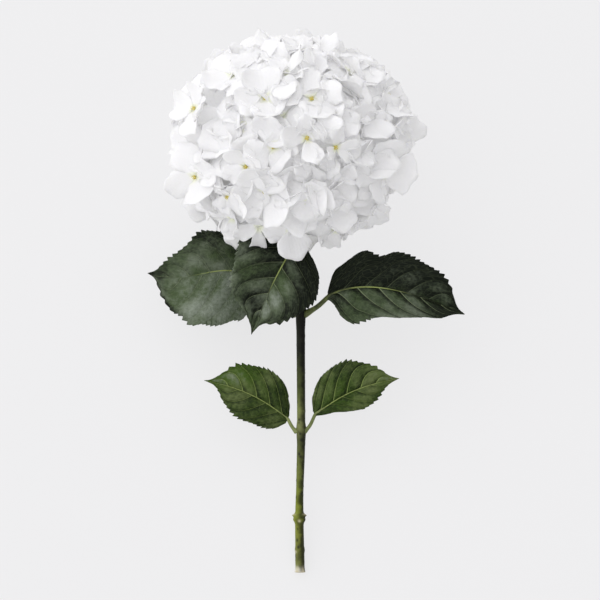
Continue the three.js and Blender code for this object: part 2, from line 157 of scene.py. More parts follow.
def smoothPath(corners, steps):
    ends = [corners[0] * 2 - corners[1], *corners, corners[-1] * 2 - corners[-2]]
    path = []
    for i in range(1, len(ends) - 2):
        a, b, c, d = ends[i - 1 : i + 3]
        for k in range(steps):
            t = k / steps
            path.append((b * 2 + (c - a) * t + (a * 2 - b * 5 + c * 4 - d) * t * t
                         + (b * 3 - a - c * 3 + d) * t ** 3) / 2)
    return path + [corners[-1].copy()]


def eased(pairs, spot):  # from pair to pair, level at each
    for (low, start), (high, end) in zip(pairs, pairs[1:]):
        if spot < high:
            share = min(1, max(0, (spot - low) / (high - low)))
            return start + (end - start) * share * share * (3 - 2 * share)
    return pairs[-1][1]


def curved(pairs, spot):  # a smooth curve through the pairs
    last = len(pairs) - 1
    i = min(last - 1, max(0, sum(spot >= pair[0] for pair in pairs) - 1))
    (low, start), (high, end) = pairs[i], pairs[i + 1]
    before, after = pairs[max(i - 1, 0)], pairs[min(i + 2, last)]
    first = (end - before[1]) / (high - before[0]) * (high - low)
    second = (after[1] - start) / (after[0] - low) * (high - low)
    share = (spot - low) / (high - low)
    turned = first + second - 2 * (end - start)
    return start + share * (first + share * (3 * (end - start) - 2 * first - second + share * turned))


def tapered(ends, count):
    start, less = ends
    return [start - less * i / (count - 1) for i in range(count)]


def bump(x, centre, half):
    return exp(-(((x - centre) / half) ** 2))


def newMaterial(name, look):
    material = bpy.data.materials.new(name)
    material.use_nodes = True
    shader = material.node_tree.nodes["Principled BSDF"]
    for key, value in look["shader"].items():
        shader.inputs[key].default_value = value
    return material, material.node_tree, shader


def place(tree, kind, links=None, **values):
    node = tree.nodes.new("ShaderNode" + kind)
    for key, value in values.items():  # these come first, because a group's sockets come with its tree
        setattr(node, key, value)
    for key, value in (links or {}).items():
        socket = node.inputs[key]
        if isinstance(value, bpy.types.NodeSocket):
            tree.links.new(value, socket)
        else:
            socket.default_value = value
    return node


def markOf(tree, name):
    return place(tree, "Attribute", attribute_name=name).outputs["Fac"]


def mixColours(tree, share, first, second, blend="MIX"):
    # a mix node's colour sockets share their names with others, so they go by number
    return place(tree, "Mix", {0: share, 6: first, 7: second},
                 data_type="RGBA", blend_type=blend, clamp_factor=True).outputs[2]


def remap(tree, value, ends, made=(0.0, 1.0), smooth=True):
    return place(tree, "MapRange", {
        "Value": value, "From Min": ends[0], "From Max": ends[1], "To Min": made[0], "To Max": made[1],
    }, interpolation_type="SMOOTHSTEP" if smooth else "LINEAR").outputs["Result"]


def maths(tree, operation, first, second=0.0):
    return place(tree, "Math", {0: first, 1: second}, operation=operation).outputs[0]


def product(tree, *parts):
    made = parts[0]
    for part in parts[1:]:
        made = maths(tree, "MULTIPLY", made, part)
    return made


def newGroup(name, inputs, outputs):
    group = bpy.data.node_groups.new(name, "ShaderNodeTree")
    for label, value in inputs.items():
        socket = group.interface.new_socket(label, in_out="INPUT", socket_type="NodeSocketFloat")
        socket.default_value = value
    for label in outputs:
        group.interface.new_socket(label, in_out="OUTPUT", socket_type="NodeSocketFloat")
    return group, group.nodes.new("NodeGroupInput").outputs, group.nodes.new("NodeGroupOutput").inputs


mottleForm = {"scale": 60.0, "detail": 4.0, "fineTimes": 9.0, "fineDetail": 3.0}


def makeMottle():
    group, given, made = newGroup(
        "mottle", {"Scale": mottleForm["scale"], "Detail": mottleForm["detail"]}, ["Broad", "Fine"])
    spot = place(group, "TexCoord").outputs["Object"]
    fineScale = product(group, given["Scale"], mottleForm["fineTimes"])
    for label, scale, detail in (("Broad", given["Scale"], given["Detail"]),
                                 ("Fine", fineScale, mottleForm["fineDetail"])):
        noise = place(group, "TexNoise", {"Vector": spot, "Scale": scale, "Detail": detail})
        group.links.new(noise.outputs["Fac"], made[label])
    return group


vein = {
    "ribTaper": (0.85, 0.2),  # of the midrib's width, from the base to the tip
    "ribEdge": 0.35, "sideEdge": 0.2,  # full colour starts here, in shares of the half width
    "sideFade": (2.0, 30.0), "sideTaper": (1.0, 0.45),  # side veins thin out between these mm from the midrib
    "valleyShade": (0.5, 0.97),  # painted shade on the dark part of the way from one side vein to the next, where the panel sinks
    "netScale": 4.2, "netAcross": 0.07, "netWidth": 0.1,
}


def makeVeinNet():
    # side veins lie where the phase is whole, and the midrib where the way across is none
    group, given, made = newGroup(
        "veinNet",
        {"Phase": 0.0, "Across": 0.0, "Along": 0.0, "Side Width": 0.035, "Rib Width": 0.9},
        ["Rib", "Side", "Net", "ValleyShade"],
    )
    way = maths(group, "ABSOLUTE", given["Across"])
    thinner = remap(group, given["Along"], (0.0, 1.0), vein["ribTaper"], smooth=False)
    rib = maths(group, "DIVIDE", way, product(group, given["Rib Width"], thinner))
    group.links.new(remap(group, rib, (1.0, vein["ribEdge"])), made["Rib"])
    half = maths(group, "ADD", given["Phase"], 0.5)
    off = maths(group, "ABSOLUTE", maths(group, "SUBTRACT", maths(group, "FRACT", half), 0.5))
    fade = remap(group, way, vein["sideFade"], vein["sideTaper"], smooth=False)
    side = maths(group, "DIVIDE", off, product(group, given["Side Width"], fade))
    group.links.new(remap(group, side, (1.0, vein["sideEdge"])), made["Side"])
    # painted shade: rises over the part of each panel that sinks towards the next side vein
    group.links.new(remap(group, maths(group, "FRACT", given["Phase"]), vein["valleyShade"]), made["ValleyShade"])
    spot = place(group, "CombineXYZ", {
        "X": given["Phase"], "Y": product(group, given["Across"], vein["netAcross"])})
    net = place(group, "TexVoronoi", {"Vector": spot.outputs[0], "Scale": vein["netScale"]},
                feature="DISTANCE_TO_EDGE")
    group.links.new(remap(group, net.outputs["Distance"], (vein["netWidth"], 0.0)), made["Net"])
    return group


mottleGroup = makeMottle()
veinGroup = makeVeinNet()


def addMottle(tree, scale):
    mottle = place(tree, "Group", {"Scale": scale}, node_tree=mottleGroup)
    return mottle.outputs["Broad"], mottle.outputs["Fine"]


def dress(tree, shader, colour, height, look):
    tree.links.new(colour, shader.inputs["Base Color"])
    relief = {"Height": height, "Strength": look["bump"], "Distance": look["bumpDepth"] * mm}
    tree.links.new(place(tree, "Bump", relief).outputs["Normal"], shader.inputs["Normal"])


petalLook = {
    "white": (0.91, 0.907, 0.91, 1), "shade": (0.885, 0.885, 0.885, 1), "base": (0.86, 0.89, 0.70, 1),
    "shadeFrom": (0.35, 0.7), "baseFrom": (0.22, 0.02),  # in the mottle, and in shares of the petal's length
    "mottle": 90.0, "veins": 34.0, "veinHeight": 0.1, "bump": 0.4, "bumpDepth": 0.6,  # mm
    "shader": {"Roughness": 0.62, "Specular IOR Level": 0.2, "Subsurface Weight": 0.8,
               "Subsurface Scale": 0.4 * mm, "Subsurface Radius": (1.0, 1.0, 0.95),
               "Emission Color": (0.91, 0.907, 0.91, 1), "Emission Strength": 0.065},  # a painted glow, standing in for light that shines through from behind
}


def petalMaterial():
    look = petalLook
    material, tree, shader = newMaterial("whitePetal", look)
    broad, fine = addMottle(tree, look["mottle"])
    colour = mixColours(tree, remap(tree, broad, look["shadeFrom"]), look["white"], look["shade"])
    colour = mixColours(tree, remap(tree, markOf(tree, "petalOut"), look["baseFrom"]), colour, look["base"])
    veins = maths(tree, "SINE", product(tree, markOf(tree, "petalFan"), look["veins"]))
    relief = maths(tree, "ADD", product(tree, veins, look["veinHeight"]), fine)
    dress(tree, shader, colour, relief, look)
    return material


plainLook = {"shader": {"Specular IOR Level": 0.35}, "bump": 0.3, "bumpDepth": 0.4}
plainLooks = {  # darker and lighter colour, mottle and roughness
    "eyeYellow": ((0.66, 0.50, 0.06, 1), (0.86, 0.78, 0.24, 1), 900.0, 0.5),
    "budWhite": ((0.86, 0.88, 0.72, 1), (0.92, 0.92, 0.86, 1), 500.0, 0.5),
    "pedicelGreen": ((0.62, 0.70, 0.42, 1), (0.78, 0.83, 0.62, 1), 90.0, 0.6),
    "upperStalk": ((0.045, 0.055, 0.018, 1), (0.15, 0.18, 0.05, 1), 160.0, 0.5),
    "lowerStalk": ((0.14, 0.17, 0.05, 1), (0.26, 0.30, 0.11, 1), 160.0, 0.5),
}


def plainMaterial(name, dark, light, scale, roughness):
    material, tree, shader = newMaterial(name, plainLook)
    shader.inputs["Roughness"].default_value = roughness
    broad, fine = addMottle(tree, scale)
    dress(tree, shader, mixColours(tree, remap(tree, broad, (0.3, 0.7)), dark, light), fine, plainLook)
    return material


leafLooks = {
    "upperLeaf": {
        "dark": (0.003, 0.006, 0.002, 1), "mid": (0.150, 0.180, 0.124, 1), "green": (0.066, 0.102, 0.038, 1),
        "vein": (0.30, 0.36, 0.20, 1), "rib": (0.54, 0.64, 0.20, 1), "paintedSheen": (0.27, 0.31, 0.25, 1),
        "toneRange": (0.04, 1.0), "valleyShade": 0.66, "netShare": 0.07, "sideShare": 0.85, "sideWidth": 0.042,
        "ribWidth": 0.9, "ribStart": 0.25, "ribShares": (0.9, 0.03), "ribFade": (0.3, 0.64),
        "gloss": (0.62, 0.42)},
    "lowerLeaf": {
        "dark": (0.008, 0.020, 0.001, 1), "mid": (0.128, 0.165, 0.055, 1), "green": (0.046, 0.095, 0.005, 1),
        "vein": (0.34, 0.44, 0.13, 1), "rib": (0.42, 0.50, 0.16, 1), "paintedSheen": (0.24, 0.28, 0.20, 1),
        "toneRange": (0.1, 0.88), "valleyShade": 0.5, "netShare": 0.08, "sideShare": 0.9, "sideWidth": 0.045,
        "ribWidth": 0.65, "ribStart": 0.8, "ribShares": (0.85, 0.2), "ribFade": (0.6, 1.0),
        "gloss": (0.5, 0.34)},
}
skinLook = {  # what all the leaves share
    "shader": {"Specular IOR Level": 0.16}, "mottle": 46.0, "broadTone": (-0.18, 0.18),
    "fineTone": (-0.12, 0.12), "valleyShadeMottle": (0.3, 1.0), "valleyShadeShow": (0.2, 1.1), "paintedSheenFrom": (0.8, 1.6),
    "ribGrows": (0.0, 0.22), "netHeight": 0.7, "grain": 0.8, "bump": 0.6, "bumpDepth": 0.6,
}


def leafMaterial(name, look):
    skin = skinLook
    material, tree, shader = newMaterial(name, skin)
    broad, fine = addMottle(tree, skin["mottle"])
    lengthway, tone, show = [markOf(tree, mark) for mark in ("along", "tone", "veinShow")]
    veins = place(tree, "Group", {
        "Phase": markOf(tree, "veinPhase"), "Across": markOf(tree, "across"), "Along": lengthway,
        "Side Width": look["sideWidth"], "Rib Width": look["ribWidth"],
    }, node_tree=veinGroup).outputs
    # the tone mark carries painted light from the leaf's lit half and its spots; the mottle adds the leaf's
    # own uneven colour
    patches = maths(tree, "ADD", remap(tree, broad, (0.3, 0.7), skin["broadTone"]), tone)
    patches = maths(tree, "ADD", patches, remap(tree, fine, (0.3, 0.7), skin["fineTone"]))
    # painted shade: the leaf is darkened in the dip before each side vein, as the hollow would be shaded
    valleyShade = product(tree, veins["ValleyShade"], remap(tree, broad, (0.3, 0.6), skin["valleyShadeMottle"]),
                     remap(tree, show, (0.0, 1.0), skin["valleyShadeShow"], smooth=False), look["valleyShade"])
    patches = maths(tree, "SUBTRACT", patches, valleyShade)
    mid = mixColours(tree, remap(tree, broad, (0.7, 0.35)), look["mid"], look["green"])
    colour = mixColours(tree, remap(tree, patches, look["toneRange"]), look["dark"], mid)
    ribShare = product(tree, remap(tree, lengthway, look["ribFade"], look["ribShares"]),
                       remap(tree, lengthway, skin["ribGrows"], (look["ribStart"], 1.0)))
    # painted sheen: where the tone runs highest, the colour turns to a grey sheen like a reflection of the
    # lamp
    for part, share in (("paintedSheen", remap(tree, patches, skin["paintedSheenFrom"])),
                        ("vein", product(tree, veins["Net"], look["netShare"])),
                        ("vein", product(tree, veins["Side"], look["sideShare"], show)),
                        ("rib", product(tree, veins["Rib"], ribShare))):
        colour = mixColours(tree, share, colour, look[part])
    tree.links.new(remap(tree, tone, (0.0, 0.7), look["gloss"]), shader.inputs["Roughness"])
    sunk = maths(tree, "ADD", veins["Side"], product(tree, veins["Net"], skin["netHeight"]))
    relief = maths(tree, "SUBTRACT", product(tree, fine, skin["grain"]), sunk)
    dress(tree, shader, colour, relief, skin)
    return material


stemLook = {
    "tones": [  # from the cut end up, in shares of the stem's length
        (0.0, (0.52, 0.50, 0.44)), (0.02, (0.10, 0.11, 0.03)), (0.05, (0.085, 0.092, 0.020)),
        (0.114, (0.120, 0.135, 0.018)), (0.195, (0.105, 0.125, 0.014)), (0.28, (0.075, 0.088, 0.020)),
        (0.36, (0.040, 0.046, 0.014)), (0.40, (0.115, 0.125, 0.046)), (0.44, (0.105, 0.120, 0.036)),
        (0.49, (0.042, 0.052, 0.012)), (0.548, (0.024, 0.029, 0.008)), (0.6, (0.006, 0.007, 0.003)),
        (0.76, (0.006, 0.007, 0.003)), (1.0, (0.35, 0.42, 0.16))],
    "pore": (0.012, 0.012, 0.008, 1), "scar": (0.60, 0.54, 0.36, 1),
    "shader": {"Roughness": 0.55, "Specular IOR Level": 0.18}, "bump": 0.5, "bumpDepth": 0.4,
    "mottle": 120.0, "blotch": (-0.25, 0.25),
    "paintedLightFrom": (0.1, 0.9), "paintedLightShades": (0.3, 1.9),  # painted light: the left side is painted lighter and the right side darker, as if lit from the left
}


def stemMaterial():
    look = stemLook
    material, tree, shader = newMaterial("greenBark", look)
    ramp = place(tree, "ValToRGB", {"Fac": markOf(tree, "stemUp")})
    stops = ramp.color_ramp.elements
    while len(stops) < len(look["tones"]):
        stops.new(0.5)
    for stop, (spot, tone) in zip(stops, look["tones"]):
        stop.position = spot
        stop.color = (*tone, 1)
    broad, fine = addMottle(tree, look["mottle"])
    # painted light and shade: the colour is lightened on the stem's left side and darkened on its right
    sun = maths(tree, "ADD", markOf(tree, "sunny"), remap(tree, broad, (0.3, 0.7), look["blotch"]))
    shade = remap(tree, sun, look["paintedLightFrom"], look["paintedLightShades"])
    shades = place(tree, "CombineColor", {0: shade, 1: shade, 2: shade}).outputs[0]
    colour = mixColours(tree, 1.0, ramp.outputs["Color"], shades, "MULTIPLY")
    for mark in ("pore", "scar"):
        colour = mixColours(tree, markOf(tree, mark), colour, look[mark])
    dress(tree, shader, colour, fine, look)
    return material


print("materials")
finishes = {
    "whitePetal": petalMaterial(), "greenBark": stemMaterial(),
    **{name: plainMaterial(name, *look) for name, look in plainLooks.items()},
    **{name: leafMaterial(name, look) for name, look in leafLooks.items()},
}

blade = {
    "rows": 150, "columns": 56, "thickness": 0.45, "firstRow": 0.004,
    "veinLean": 0.22, "veinCurve": 0.12,  # how far a side vein runs towards the tip, in shares of the length
    "veinOffset": 0.35,  # of the right half's veins from the left half's
    "panelLean": 0.75, "panelRound": 0.65, "panelFade": 0.45, "sunk": 0.6,
    "cell": 6.5, "cellHeight": 0.6, "cellRound": 0.7, "groove": 0.9, "grooveWidth": 1.2,
    "cellShift": (0.37, 0.2), "swellTimes": (8.3, 2.4), "slimShown": (0.35, 0.75),
    "droop": 0.16, "swell": 1.5, "marginWay": 2.5, "nearRib": 6,
    "wideHalf": 33, "slimHalf": 10,  # mm, half widths where the relief has its full size
}
tooth = {
    "height": 1.5, "sweep": 1.1, "peak": 0.76, "shift": 0.3, "sizes": (0.85, 0.45), "smoothSize": 0.08,
    "start": 0.06, "past": 0.01, "fade": 0.08, "way": 7, "fullHalf": 15, "uneven": 7.3,
}
stalkForm = {
    "sides": 14, "steps": 5, "under": 0.25,  # mm between the rib's middle and the blade's underside
    "ribSpots": [0.015, 0.06, 0.14, 0.25, 0.4, 0.55, 0.7],
    "taper": [(0, 1.55), (0.10, 1.0), (0.2, 0.95), (0.35, 0.8), (0.6, 0.45), (1.0, 0.16)],
}
usualLeaf = {"kind": "upper", "lateBow": 1, "sway": 0, "smooth": (0, 0, 0)}
lowerPair = {
    "kind": "lower", "face": (0, 0, 1), "arch": 5, "fold": 10, "stalkRadius": 1.35, "teeth": 18,
    "bodyEnd": 0.92, "veins": 6, "quilt": 2.2, "showFade": 0.5,
}
# A leaf's halves are -1 and 1, left and right of the way from its base to its tip, seen on its face.
# margins: half widths at shares of the length, of the left and of the right half
# smooth: the half and the stretch of it that has no teeth
# paintedLitHalf: the half that is painted lighter, as if it faced the light, and by how much
# show: how plain the side veins are in the left and the right half
# lightAndToneSpots: lighter or darker spots, mostly painted shadow and painted highlight and some the
#   leaf's own tone; each its half (0 is both), share of the length, spread, share of the way out, spread, and
#   how much
# waves: what lifts or sinks a margin, each its half, share of the length, spread and mm
# tone: how light the leaf is overall, partly its own colour and partly painted light
leafForms = {
    "leaf_upper_right": {
        "stalk": [(3, 193, 0), (13, 199, 3)], "base": (20, 205, 5), "tip": (123, 193.5, 6),
        "face": (0.05, 0.2, 1), "bow": -11, "lateBow": 0.65, "arch": 10, "fold": 24,
        "stalkRadius": 1.9, "teeth": 27, "smooth": (1, 0.34, 0.95), "bodyEnd": 0.95,
        "margins": [
            [(0, 1.5), (0.02, 16), (0.08, 20.5), (0.23, 28.5), (0.345, 25), (0.46, 29.8), (0.6, 27.5),
             (0.78, 23), (0.87, 16), (0.94, 3.5), (1, 0)],
            [(0, 1.5), (0.05, 9.5), (0.11, 22.5), (0.2, 30.5), (0.28, 28.5), (0.38, 26), (0.54, 23.3),
             (0.69, 17.5), (0.83, 11.5), (0.93, 3.4), (1, 0)]],
        "veins": 6.5, "veinStart": 0.3, "quilt": 2.4, "paintedLitHalf": (1, 0.43), "tone": 0.27, "show": (0.25, 1.0),
        "lightAndToneSpots": [(-1, 0.6, 0.35, 0.25, 0.4, 0.35), (-1, 0.88, 0.15, 0.4, 0.5, 0.35),
                     (1, 0.86, 0.2, 0.5, 0.9, -0.5), (1, 0.05, 0.06, 0.6, 0.5, -0.5)],
        "showFade": 0.7, "waves": [(-1, 0.345, 0.06, -4.0), (1, 0.18, 0.10, -3.0), (1, 0.65, 0.2, 3.0)],
    },
    "leaf_upper_left": {
        "stalk": [(-3, 193, -1), (-18, 208, -14)], "base": (-31, 221, -26),
        "tip": (-116, 224.5, -20), "face": (0.05, 0.3, 1), "bow": -1, "sway": 3.5, "arch": 9,
        "fold": 8, "stalkRadius": 1.9, "teeth": 24, "bodyEnd": 0.95,
        "margins": [
            [(0, 1.5), (0.1, 32), (0.22, 39), (0.35, 43.3), (0.5, 41), (0.59, 39.5), (0.68, 30.5),
             (0.77, 26.5), (0.85, 16), (0.93, 3.5), (1, 0)],
            [(0, 1.5), (0.06, 17), (0.18, 27), (0.35, 31.3), (0.51, 35), (0.57, 33), (0.64, 27), (0.72, 20.8),
             (0.81, 14), (0.87, 8.8), (0.93, 3.5), (1, 0)]],
        "veins": 5.5, "veinStart": 0.2, "quilt": 1.5, "paintedLitHalf": (-1, 0.06), "tone": 0.93, "show": (0.45, 0.3),
        "lightAndToneSpots": [(0, 1.0, 0.15, 0.2, 0.9, -0.9), (1, 0.4, 0.3, 1.0, 0.5, -0.6),
                     (1, 0.1, 0.12, 0.6, 0.5, -0.4), (-1, 0.45, 0.3, 0.9, 0.6, 0.2),
                     (-1, 0.28, 0.12, 0.3, 0.4, 0.45), (-1, 0.8, 0.22, 1.0, 0.14, -0.8)],
        "showFade": 1.0, "waves": [(-1, 0.5, 0.12, 2.0), (1, 0.5, 0.15, -2.0)],
    },
    "leaf_front": {
        "stalk": [(0, 226, 3), (-1, 242, 7)], "base": (-2, 249, 10), "tip": (-36, 178.5, 19),
        "face": (0.05, 0.1, 1), "bow": 2, "arch": 9, "fold": 6, "stalkRadius": 1.8,
        "teeth": 20, "bodyEnd": 0.93,
        "margins": [
            [(0, 2), (0.05, 11), (0.16, 22.8), (0.27, 29.3), (0.42, 33), (0.54, 30.5), (0.7, 22.6), (0.8, 14),
             (0.87, 5), (0.94, 1.6), (1, 0)],
            [(0, 2), (0.1, 19), (0.18, 36), (0.34, 34.2), (0.5, 31.5), (0.6, 30), (0.7, 25), (0.78, 18.5),
             (0.84, 10), (0.92, 3.5), (1, 0)]],
        "veins": 6, "veinStart": 0.1, "quilt": 3.6, "paintedLitHalf": (-1, 0.08), "tone": 0.6, "show": (0.8, 0.6),
        "lightAndToneSpots": [(0, 0.0, 0.24, 0.4, 1.2, -1.1), (-1, 0.3, 0.4, 1.0, 0.46, -1.1),
                     (1, 0.72, 0.07, 0.35, 0.3, -0.5), (-1, 0.6, 0.25, 0.25, 0.25, 0.65),
                     (1, 0.4, 0.25, 0.7, 0.35, 0.2), (1, 0.6, 0.2, 1.0, 0.05, 0.5)],
        "showFade": 0.9, "waves": [(-1, 0.55, 0.10, -2.5), (-1, 0.75, 0.08, 2.5), (1, 0.6, 0.12, 2.0)],
    },
    "leaf_lower_left": {
        **lowerPair, "stalk": [(-2.5, 105, 0), (-6, 109, 1)], "base": (-8.8, 115, 2),
        "tip": (-71.5, 144, 8), "bow": 5,
        "margins": [
            [(0, 3.5), (0.09, 12), (0.2, 16), (0.35, 18.5), (0.48, 19.3), (0.6, 17), (0.72, 12), (0.8, 6),
             (0.88, 2), (1, 0)],
            [(0, 2), (0.06, 10.5), (0.14, 17.3), (0.25, 21.4), (0.4, 22.3), (0.6, 20.5), (0.73, 17.5),
             (0.8, 13.3), (0.87, 7), (0.94, 2), (1, 0)]],
        "veinStart": 0.2, "paintedLitHalf": (1, 0.08), "tone": 0.51, "show": (0.5, 0.9),
        "lightAndToneSpots": [(1, 0.7, 0.18, 0.5, 0.4, 0.5), (1, 0.1, 0.2, 0.6, 0.5, -0.3),
                     (0, 0.9, 0.15, 0, 1.0, 0.5)],
        "waves": [(1, 0.6, 0.1, 1.2)],
    },
    "leaf_lower_right": {
        **lowerPair, "stalk": [(3, 105, 0), (7.5, 110, 1)], "base": (10.7, 118, 2),
        "tip": (74, 145.5, 8), "bow": -5, "smooth": (1, 0.0, 0.5),
        "margins": [
            [(0, 2), (0.05, 11), (0.14, 17.5), (0.28, 21.8), (0.45, 23.2), (0.6, 21.6), (0.72, 17),
             (0.82, 11.5), (0.89, 5.5), (0.95, 2), (1, 0)],
            [(0, 1), (0.1, 4.5), (0.22, 7.5), (0.35, 12), (0.5, 15), (0.6, 14.2), (0.7, 11), (0.8, 6),
             (0.88, 2.8), (1, 0)]],
        "veinStart": 0.5, "paintedLitHalf": (-1, 0.1), "tone": 0.44, "show": (0.9, 0.4),
        "lightAndToneSpots": [(0, 0.9, 0.15, 0, 1.0, 0.45), (1, 0.4, 0.3, 0.5, 0.6, 0.3),
                     (-1, 0.5, 0.15, 0.9, 0.3, -0.25), (-1, 0.3, 0.15, 0.3, 0.3, 0.2)],
        "waves": [(-1, 0.55, 0.1, 1.2)],
    },
}


def toothReach(leaf, up, side):
    spot = up * leaf["teeth"] + (tooth["shift"] if side > 0 else 0)
    share = spot % 1
    saw = share / tooth["peak"] if share < tooth["peak"] else (1 - share) / (1 - tooth["peak"])
    left = max(0, leaf["bodyEnd"] + tooth["past"] - up)
    near = min(1, up / tooth["start"]) * min(1, left / tooth["fade"])
    middle, spread = tooth["sizes"]
    size = middle + spread * sin(tooth["uneven"] * floor(spot) + side)
    half, start, end = leaf["smooth"]
    if side == half and start < up < end:
        size = tooth["smoothSize"]
    return tooth["height"] * near * saw * size


def leafFrame(leaf):
    base, tip = Vector(leaf["base"]), Vector(leaf["tip"])
    forward = (tip - base).normalized()
    face = Vector(leaf["face"])
    face = (face - forward * face.dot(forward)).normalized()
    return base, (tip - base).length, forward, forward.cross(face), face


def leafRelief(leaf, up, side, way, half, phase):
    # each panel between two side veins swells, most of all on its side towards the tip
    panel = max(0, sin(pi * (phase % 1) ** blade["panelLean"]))
    alongShift, sideShift = blade["cellShift"]
    column = way * half / blade["cell"] + alongShift * floor(phase) + sideShift * side
    cell = abs(sin(pi * column)) ** blade["cellRound"]
    puff = leaf["quilt"] * (panel ** blade["panelRound"] - blade["sunk"])
    puff *= 1 - blade["panelFade"] * way
    puff += blade["cellHeight"] * (cell - blade["sunk"]) * panel
    groove = blade["groove"] * bump(way * half, 0, blade["grooveWidth"])
    upTimes, outTimes = blade["swellTimes"]
    swell = blade["swell"] * sin(upTimes * up + leaf["teeth"] + side) * sin(outTimes * way) * way
    size = half / blade["wideHalf"]
    least, more = blade["slimShown"]
    shown = min(1, way * blade["nearRib"]) * min(1, least + size * more)
    return (puff * shown - groove) * min(1, half / blade["slimHalf"]) + swell * size


def leafPoint(leaf, up, out):
    base, length, forward, across, face = leafFrame(leaf)
    side = -1 if out < 0 else 1
    way = abs(out)
    half = curved(leaf["margins"][max(side, 0)], up)
    reach = toothReach(leaf, up, side) * min(1, half / tooth["fullHalf"]) * way ** tooth["way"]
    aside = leaf["bow"] * sin(pi * up ** leaf["lateBow"]) + leaf["sway"] * sin(tau * up)
    lean = blade["veinLean"] * way + blade["veinCurve"] * way ** 3
    phase = leaf["veins"] * (up - lean) + leaf["veinStart"] + (blade["veinOffset"] if side > 0 else 0)
    margin = sum(size * bump(up, middle, spread) * way ** blade["marginWay"]
                 for edge, middle, spread, size in leaf["waves"] if edge == side)
    fold = radians(leaf["fold"])
    rise = (leaf["arch"] * sin(pi * up) + half * way * sin(fold)
            - blade["droop"] * half * way * way + margin + leafRelief(leaf, up, side, way, half, phase))
    spot = (base + forward * (length * up + reach * tooth["sweep"])
            + across * ((half + reach) * out * cos(fold) + aside) + face * rise)
    # painted light: one half of the leaf is made lighter, as if it faced the light and the other half were
    # turned away
    paintedLitHalf, strength = leaf["paintedLitHalf"]
    tone = leaf["tone"] + strength * paintedLitHalf * side * min(1, way * blade["nearRib"])
    # painted light: the spots add painted shadow and painted highlight to the tone, besides some of the
    # leaf's own tone
    tone += sum(more * bump(up, middle, spread) * bump(way, over, wide)
                for edge, middle, spread, over, wide, more in leaf["lightAndToneSpots"] if edge in (0, side))
    show = leaf["show"][max(side, 0)] * (1 - leaf["showFade"] * way)
    return spot, {"veinPhase": phase, "across": half * out, "along": up, "tone": tone, "veinShow": show}


def addLeaf(name, leaf):
    rows, columns, first = blade["rows"], blade["columns"], blade["firstRow"]
    heap = Heap("veinPhase", "across", "along", "tone", "veinShow")
    for i in range(rows + 1):
        for j in range(columns + 1):
            spot, marks = leafPoint(leaf, first + (1 - first) * i / rows, 2 * j / columns - 1)
            heap.add([spot], [], **marks)
    heap.faces = gridFaces(rows + 1, columns + 1)
    piece = addPiece(name + "_blade", heap, leaf["kind"] + "Leaf", name)
    addShell(piece, blade["thickness"], -1)
    sunk = leafFrame(leaf)[4] * (blade["thickness"] + stalkForm["under"])
    rib = [leafPoint(leaf, up, 0)[0] - sunk for up in stalkForm["ribSpots"]]
    path = smoothPath([Vector(p) for p in leaf["stalk"]] + rib, stalkForm["steps"])
    radii = [leaf["stalkRadius"] * eased(stalkForm["taper"], i / (len(path) - 1)) for i in range(len(path))]
    stalk = Heap()
    stalk.add(*rodForm(path, radii, stalkForm["sides"]))
    addPiece(name + "_stalk", stalk, leaf["kind"] + "Stalk", name)


print("leaves")
for leafName, leafForm in leafForms.items():
    addLeaf(leafName, {**usualLeaf, **leafForm})

stem = {
    "topUp": 276.6, "sides": 40, "step": 0.8,
    "profile": [(0, 4.1), (1.2, 3.75), (4, 3.45), (14, 3.4), (17, 3.7), (20, 3.3), (35, 3.2), (39, 3.7),
                (42, 3.7), (46, 3.0), (60, 2.75), (95, 3.05), (104, 3.5), (108, 3.7), (113, 3.1),
                (150, 3.2), (180, 3.3), (190, 3.7), (198, 4.1), (204, 3.4), (240, 3.3), (250, 3.9),
                (257, 3.5), (268, 3.6), (276.6, 4.6)],
    "wander": [(0, 0), (41, -0.5), (106, 0.9), (194, 0.5), (276.6, -1.2)],
    "lips": [(42.6, 1.0, 0.5), (39.5, 1.8, 0.26)],  # up, spread, and how far they stand out at the sides
    "wideRidges": (0.05, 6, 0.03), "fineRidges": (0.035, 17, 0.4, 9),  # mm, how many, and their slow turning
    "seed": 5, "pores": 120, "poresUp": (6, 205), "poreSizes": (0.4, 1.1), "poreSwell": 0.16,
    "poreTall": 1.3, "poreSlim": 3.2, "poreReach": 2.5,
    "climb": 0.24,  # the underside keeps this far off the surface for each mm up
    "rimScar": (43.2, 0.7),  # up and spread
    "frontScars": [(38.6, 0.9, pi / 2, 0.22), (15.5, 0.9, 2.6, 0.3)],  # with turn and spread
    "peeled": 3.4, "peeledTurns": [(0.9, 0.35), (2.2, 0.35)], "bare": 0.5,  # bark gone near the cut
    # rings of the cut end, which is sunk a little where the pith is: share of the radius, depth, scar
    "cutRings": [(0.9, 0.0, 1), (0.62, 0.15, 1), (0.5, 0.5, 0.7), (0.25, 0.6, 0.7)], "pithScar": 0.6,
}


def poreAt(up, turn, pores):
    pore = 0.0
    swell = 0.0
    for spotUp, spotTurn, size in pores:
        if abs(up - spotUp) > stem["poreReach"]:
            continue
        off = (turn - spotTurn + pi) % tau - pi
        near = exp(-((up - spotUp) / (size * stem["poreTall"])) ** 2 - (off * stem["poreSlim"] / size) ** 2)
        pore = max(pore, near)
        swell += stem["poreSwell"] * near
    return pore, swell


def scarAt(up, turn):
    rimUp, rimSpread = stem["rimScar"]
    rim = bump(up, rimUp, rimSpread) * abs(cos(turn)) ** 3
    front = sum(bump(up, spot, tall) * bump(turn, aside, wide)
                for spot, tall, aside, wide in stem["frontScars"])
    peeled = bump(up, 0, stem["peeled"]) * max(bump(turn, *spot) for spot in stem["peeledTurns"])
    return min(1, rim + front + peeled + bump(up, 0, stem["bare"]))


